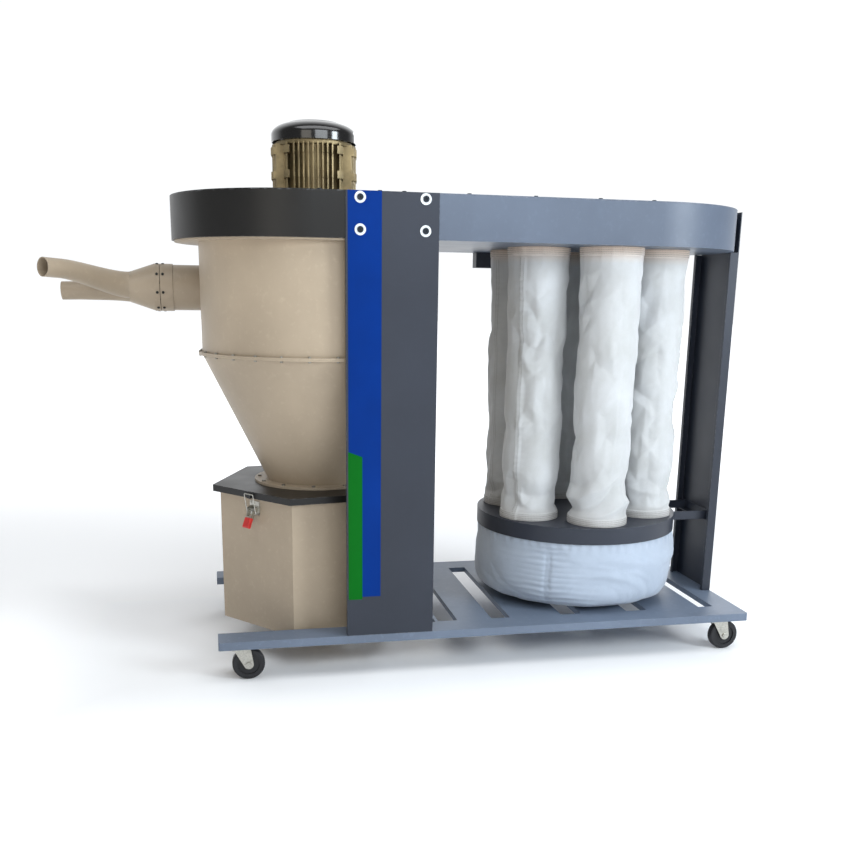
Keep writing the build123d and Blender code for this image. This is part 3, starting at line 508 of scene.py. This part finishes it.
class FilterBag:
    """One sewn filter sleeve: round, with hems, a lapped seam, creases and slumped cloth near its foot."""

    def __init__(self, number):
        low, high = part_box(f"filter_bag_{number}")
        self.number = number
        self.centre = (low + high) / 2
        self.low, self.high = low.z, high.z
        self.seed = BAG_SEED * number
        self.seam = math.radians(SEAM_TURNS[number - 1])
        self.slump = SLUMPS[number - 1]

    def radius(self, angle, z):
        """Distance from the bag's axis to its cloth. Cloth is free to crease away from its two ends."""
        share = (z - self.low) / (self.high - self.low)
        free = smooth_step(z - self.low, 0.01, 0.08) * smooth_step(self.high - z, 0.01, 0.1)
        smooth = BAG_RADIUS + BAG_FLARE * smooth_step(share, 0.3, 1)
        creased = smooth + self.creases(angle, z, share, free)
        return creased + self.seam_relief(angle, z, free) + self.end_relief(angle, z)

    def creases(self, angle, z, share, free):
        """Large and small facets, a band of them above the middle, and the slumped foot."""
        x, y = math.cos(angle), math.sin(angle)
        turn = (angle / TURN) % 1
        tilt = math.sin(angle + self.seed)
        wander = 0.35 * drift(x * 2, y * 2, z * 7 + self.seed)
        large_up = 8.5 * share + wander + 0.8 * y
        large = facets(LARGE_CELLS * (turn + 0.09 * wander), large_up, LARGE_CELLS, self.seed)
        small_up = 21 * share + 2 * wander + 1.3 * tilt
        small = facets(SMALL_CELLS * (turn + 0.06 * wander), small_up, SMALL_CELLS, self.seed + 5)
        patchy = 0.25 + 0.75 * smooth_step(drift(x, y, z * 3 + self.seed), -0.15, 0.3)
        oval = math.sin(2 * angle + self.seed + 2.2 * z)
        push = free * (LARGE_CREASE * large + SMALL_CREASE * patchy * small + OVAL * oval)
        band = facets(BAND_CELLS * turn + 1.5 * wander, 13 * share, BAND_CELLS, self.seed + 23)
        push += BAND_CREASE * bell(share - 0.62, 0.1) * band
        height = z - self.low
        near_foot = smooth_step(0.2 - height, 0, 0.14) * smooth_step(height, 0.02, 0.05)
        foot_up = (34 * height + 1.9 * tilt + 0.8 * wander) / 1.6
        slumped = 0.1 + facets(FOOT_CELLS * turn, foot_up, FOOT_CELLS, self.seed + 11)
        return push + self.slump * near_foot * slumped

    def seam_relief(self, angle, z, free):
        """The step of the lapped seam and the puckers beside it."""
        across = abs(signed_gap(angle, self.seam)) * BAG_RADIUS
        lap = LAP_STEP * smooth_step(SEAM_LAP - across, 0, 0.002)
        return lap + PUCKER * free * math.exp(-across / 0.02) * math.sin(z * TURN / PUCKER_PITCH)

    def end_relief(self, angle, z):
        """Hems with their rows of stitches, and small gathers under the top one."""
        near_top = smooth_step(0.1 - (self.high - z), 0, 0.07)
        push = -GATHER * near_top * abs(math.sin(9 * angle + self.seed))
        for end in (z - self.low, self.high - z):
            push += HEM_STEP * smooth_step(HEM_HEIGHT - end, -0.0005, 0.0015)
            push -= HEM_GROOVE * bell(end - HEM_HEIGHT, 0.003)
            for row in STITCH_ROWS:
                push -= STITCH_GROOVE * bell(end - row, 0.0016)
        return push

    def point(self, angle, z):
        radius = self.radius(angle, z)
        x, y = math.cos(angle), math.sin(angle)
        return Vector((self.centre.x + radius * x, self.centre.y + radius * y, z))

    def heights(self):
        """Rows of the mesh: close together in the hems, wider apart between them."""
        hem = [HEM_HEIGHT * 1.25 * k / HEM_MESH_ROWS for k in range(HEM_MESH_ROWS + 1)]
        start, stop = self.low + hem[-1], self.high - hem[-1]
        middle = [start + (stop - start) * k / BAG_ROWS for k in range(1, BAG_ROWS)]
        return [self.low + h for h in hem] + middle + [self.high - h for h in reversed(hem)]

    def make(self):
        heights = self.heights()

        def point(column, row):
            return self.point(column * TURN / BAG_SEGMENTS + self.seam, heights[row])

        sleeve = surface_mesh(f"filter_sleeve_{self.number}", BAG_SEGMENTS, len(heights) - 1, point)
        sleeve.data.materials.append(FILTER_CLOTH)
        give_thickness(sleeve)
        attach(sleeve, "frame")
        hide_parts(f"filter_bag_{self.number}")
        stitching = self.stitching()
        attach(stitching, "frame")

    def stitching(self):
        """Rows of stitches round both hems, and two rows up the seam between them."""
        shape = bmesh.new()
        for end_z, sign in ((self.low, 1), (self.high, -1)):
            for row in STITCH_ROWS:
                z = end_z + sign * row
                for k in range(HEM_STITCHES):
                    start = self.seam + TURN * k / HEM_STITCHES
                    stop = start + STITCH_LENGTH / BAG_RADIUS
                    lay_stitch(shape, self.point(start, z), self.point(stop, z), self.centre)
        for side in SEAM_STITCHES:
            angle = self.seam + side / BAG_RADIUS
            for k in range(int((self.high - self.low - 2 * HEM_HEIGHT) / STITCH_PITCH)):
                z = self.low + HEM_HEIGHT + STITCH_PITCH * k
                lay_stitch(shape, self.point(angle, z), self.point(angle, z + STITCH_LENGTH), self.centre)
        piece = finished(f"bag_stitching_{self.number}", shape)
        piece.data.materials.append(THREAD)
        return piece


def lay_stitch(shape, start, stop, centre):
    """A short thread lying on cloth: pointed at both ends, raised in the middle."""
    middle = (start + stop) / 2
    out = Vector((middle.x - centre.x, middle.y - centre.y, 0)).normalized()
    along = (stop - start).normalized()
    side = along.cross(out).normalized() * STITCH_THREAD / 2
    tips = [shape.verts.new(end - out * THREAD_SINK) for end in (start, stop)]
    around = (side, out * STITCH_THREAD * 0.6, -side, -out * STITCH_THREAD * 0.5)
    ring = [shape.verts.new(middle + offset) for offset in around]
    for a, b in zip(ring, ring[1:] + ring[:1]):
        shape.faces.new((tips[0], b, a))
        shape.faces.new((tips[1], a, b))


class DustBag:
    """The lower bag: a gathered cloth drum that bulges under the ring and lies on the deck."""

    LARGE_CELLS = 13
    SMALL_CELLS = 29

    def __init__(self):
        low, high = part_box("lower_bag")
        self.centre = (low + high) / 2
        self.foot, self.top = low.z, high.z
        self.outline = self.profile()

    def profile(self):
        """Radius and height along a smooth curve through the profile's knots."""
        knots = DUST_BAG_FLOOR + DUST_BAG_SIDE + DUST_BAG_TOP
        last = len(knots) - 1
        points = []
        for k in range(DUST_BAG_ROWS + 1):
            at = last * k / DUST_BAG_ROWS
            i = min(int(at), last - 1)
            before, a, b, after = (knots[min(max(i + d, 0), last)] for d in (-1, 0, 1, 2))
            points.append(tuple(catmull(before[n], a[n], b[n], after[n], at - i) for n in (0, 1)))
        return points

    def point(self, column, row):
        angle = TURN * column / DUST_BAG_SEGMENTS + DUST_BAG_SEAM
        radius, height = self.outline[row]
        x, y = math.cos(angle), math.sin(angle)
        side = smooth_step(height, 0.012, 0.05)
        free = side * smooth_step(self.top - self.foot - height, -0.002, 0.05)
        push = free * (self.creases(angle, height) + self.seam_relief(angle, height))
        push += self.edge_relief(angle, radius, height)
        ruffle = 1 + drift(x * 3, y * 3, radius * 9)
        lift = 0.0015 * (1 - side) * smooth_step(radius, 0.1, 0.3) * ruffle
        reach = radius + push
        return Vector((self.centre.x + reach * x, self.centre.y + reach * y, self.foot + height + lift))

    def creases(self, angle, height):
        """Crumpled facets that climb away from the seam."""
        turn = (angle / TURN) % 1
        wander = drift(math.cos(angle) * 1.5, math.sin(angle) * 1.5, height * 6)
        aside = signed_gap(angle, DUST_BAG_SEAM) * DUST_BAG_RADIUS
        climb = 9 * height + 1.2 * wander + 2.2 * aside
        large = facets(self.LARGE_CELLS * turn + 0.5 * wander, climb * 1.7, self.LARGE_CELLS, 3.5)
        small = facets(self.SMALL_CELLS * turn + wander, 3 * climb, self.SMALL_CELLS, 8.5)
        return 0.006 * wander + 0.0046 * large + 0.0018 * small

    def seam_relief(self, angle, height):
        """The seam in its valley, and the gathers that fan out from it."""
        gap = signed_gap(angle, DUST_BAG_SEAM)
        across = abs(gap) * DUST_BAG_RADIUS
        reach = 0.06 + 0.05 * drift(height * 45, 3.1, math.copysign(0.5, gap))
        ripple = height * TURN / PUCKER_PITCH + 2.6 * drift(across * 8, height * 14, 7)
        ripple -= 9 * across * (height / 0.12 - 1)
        fade = math.exp(-across / max(0.03, reach)) * smooth_step(across, 0.001, 0.01)
        gather = 0.004 * fade * (1 - abs(math.sin(ripple / 2)) * 2)
        return gather - 0.006 * bell(across, 0.01) + 0.003 * smooth_step(0.0045 - across, 0, 0.0015)

    def edge_relief(self, angle, radius, height):
        """Pleats under the ring, and a wavy skirt where the cloth meets the deck."""
        x, y = math.cos(angle), math.sin(angle)
        pleats = math.sin(DUST_BAG_PLEATS * angle + 3 * drift(x * 3, y * 3, 1))
        waves = math.sin(13 * angle + 4 * drift(x * 2, y * 2, 5))
        skirt = smooth_step(0.06 - height, 0, 0.05) * smooth_step(radius, 0.25, 0.33)
        return 0.0016 * smooth_step(height, 0.2, 0.244) * pleats + 0.004 * skirt * waves

    def area(self):
        total = math.pi * self.outline[0][0] ** 2
        for (r0, z0), (r1, z1) in zip(self.outline, self.outline[1:]):
            total += math.pi * (r0 + r1) * math.hypot(r1 - r0, z1 - z0)
        return total

    def make(self):
        bottom = Vector((self.centre.x, self.centre.y, self.foot))
        bag = surface_mesh("dust_bag", DUST_BAG_SEGMENTS, DUST_BAG_ROWS, self.point, bottom)
        bag.data.materials.append(DUST_CLOTH)
        give_thickness(bag)
        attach(bag, "frame")
        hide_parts("lower_bag")
        area = self.area()


def catmull(a, b, c, d, t):
    """Smooth curve through b and c, headed by a and d."""
    bend, twist = 2 * a - 5 * b + 4 * c - d, 3 * b - a - 3 * c + d
    return 0.5 * (2 * b + (c - a) * t + bend * t**2 + twist * t**3)


# Stage and light


def add_floor():
    """A white floor that turns self-lit far away, so that it runs into the backdrop with no horizon."""
    mesh = bpy.data.meshes.new("floor")
    corners = [(x * FLOOR_HALF, y * FLOOR_HALF, 0) for x, y in ((-1, -1), (1, -1), (1, 1), (-1, 1))]
    mesh.from_pydata(corners, [], [(0, 1, 2, 3)])
    floor = placed("floor", mesh)
    look = Look("floor", linear(246, 247, 249), 0.8, Specular_IOR_Level=0.1)
    clouds = look.ramp(look.noise(scale=0.7, detail=3), 0.3, 0.7)
    look.paint(look.mix(clouds, linear(243, 244, 246), linear(248, 249, 251)))
    aside = look.math("SUBTRACT", look.math("ABSOLUTE", look.along("X")), SHADED_X)
    ahead = look.math("SUBTRACT", look.math("ABSOLUTE", look.along("Y")), SHADED_Y)
    outside = look.math("MAXIMUM", aside, ahead)
    near, far = (
        look.remap(outside, start, full, last=strength, smooth=True)
        for start, full, strength in (NEAR_GLOW, FAR_GLOW)
    )
    look.shader.inputs["Emission Color"].default_value = COOL_WHITE
    look.link(look.math("ADD", near, far), look.shader.inputs["Emission Strength"])
    floor.data.materials.append(look.material)


def add_backdrop():
    """World light: white behind the object, dim in front of it and above."""
    world = bpy.data.worlds.new("studio")
    world.use_nodes = True
    tree = world.node_tree
    direction = tree.nodes.new("ShaderNodeTexCoord")
    parts = tree.nodes.new("ShaderNodeSeparateXYZ")
    tree.links.new(direction.outputs["Generated"], parts.inputs["Vector"])
    fade = tree.nodes.new("ShaderNodeMapRange")
    fade.interpolation_type = "SMOOTHSTEP"
    fade.inputs["From Min"].default_value, fade.inputs["From Max"].default_value = WORLD_RISE
    fade.inputs["To Min"].default_value = WORLD_FRONT
    fade.inputs["To Max"].default_value = WORLD_BACK
    tree.links.new(parts.outputs["Y"], fade.inputs["Value"])
    background = tree.nodes["Background"]
    background.inputs["Color"].default_value = COOL_WHITE
    tree.links.new(fade.outputs["Result"], background.inputs["Strength"])
    bpy.context.scene.world = world


def add_light(name, place, aim, size, power, colour):
    """A rectangular lamp at a place, aimed at another; metres and watts."""
    data = bpy.data.lights.new(name, "AREA")
    data.shape = "RECTANGLE"
    data.size, data.size_y = size
    data.energy = power
    data.color = colour
    light = placed(name, data)
    light.location = place
    light.rotation_euler = (Vector(aim) - Vector(place)).to_track_quat("-Z", "Y").to_euler()


def add_lights():
    add_light("key", (3.4, -3.0, 2.1), (0.2, 0, 0.8), (1.2, 1.6), 108, (0.86, 0.94, 1.0))
    add_light("fill", (-2.2, -4.0, 1.9), (-0.3, 0, 0.9), (2.0, 2.0), 22, (1.0, 0.94, 0.84))
    add_light("window", (0.9, -4.6, 2.75), (0.1, 0, 1.3), (2.8, 1.3), 60, (0.9, 0.96, 1.0))
    add_light("sky", (0.1, -1.3, 3.7), (0, -0.1, 0), (4.6, 2.0), 78, (0.96, 0.985, 1.0))
    add_light("back", (2.4, 3.6, 2.2), (0, 0, 0.8), (2, 2), 35, (0.95, 0.98, 1.0))
    bpy.context.scene.view_settings.view_transform = "Standard"


add_camera()
dress_nodes()
for bag_number in range(1, FILTER_BAGS + 1):
    FilterBag(bag_number).make()
DustBag().make()
add_floor()
add_backdrop()
add_lights()
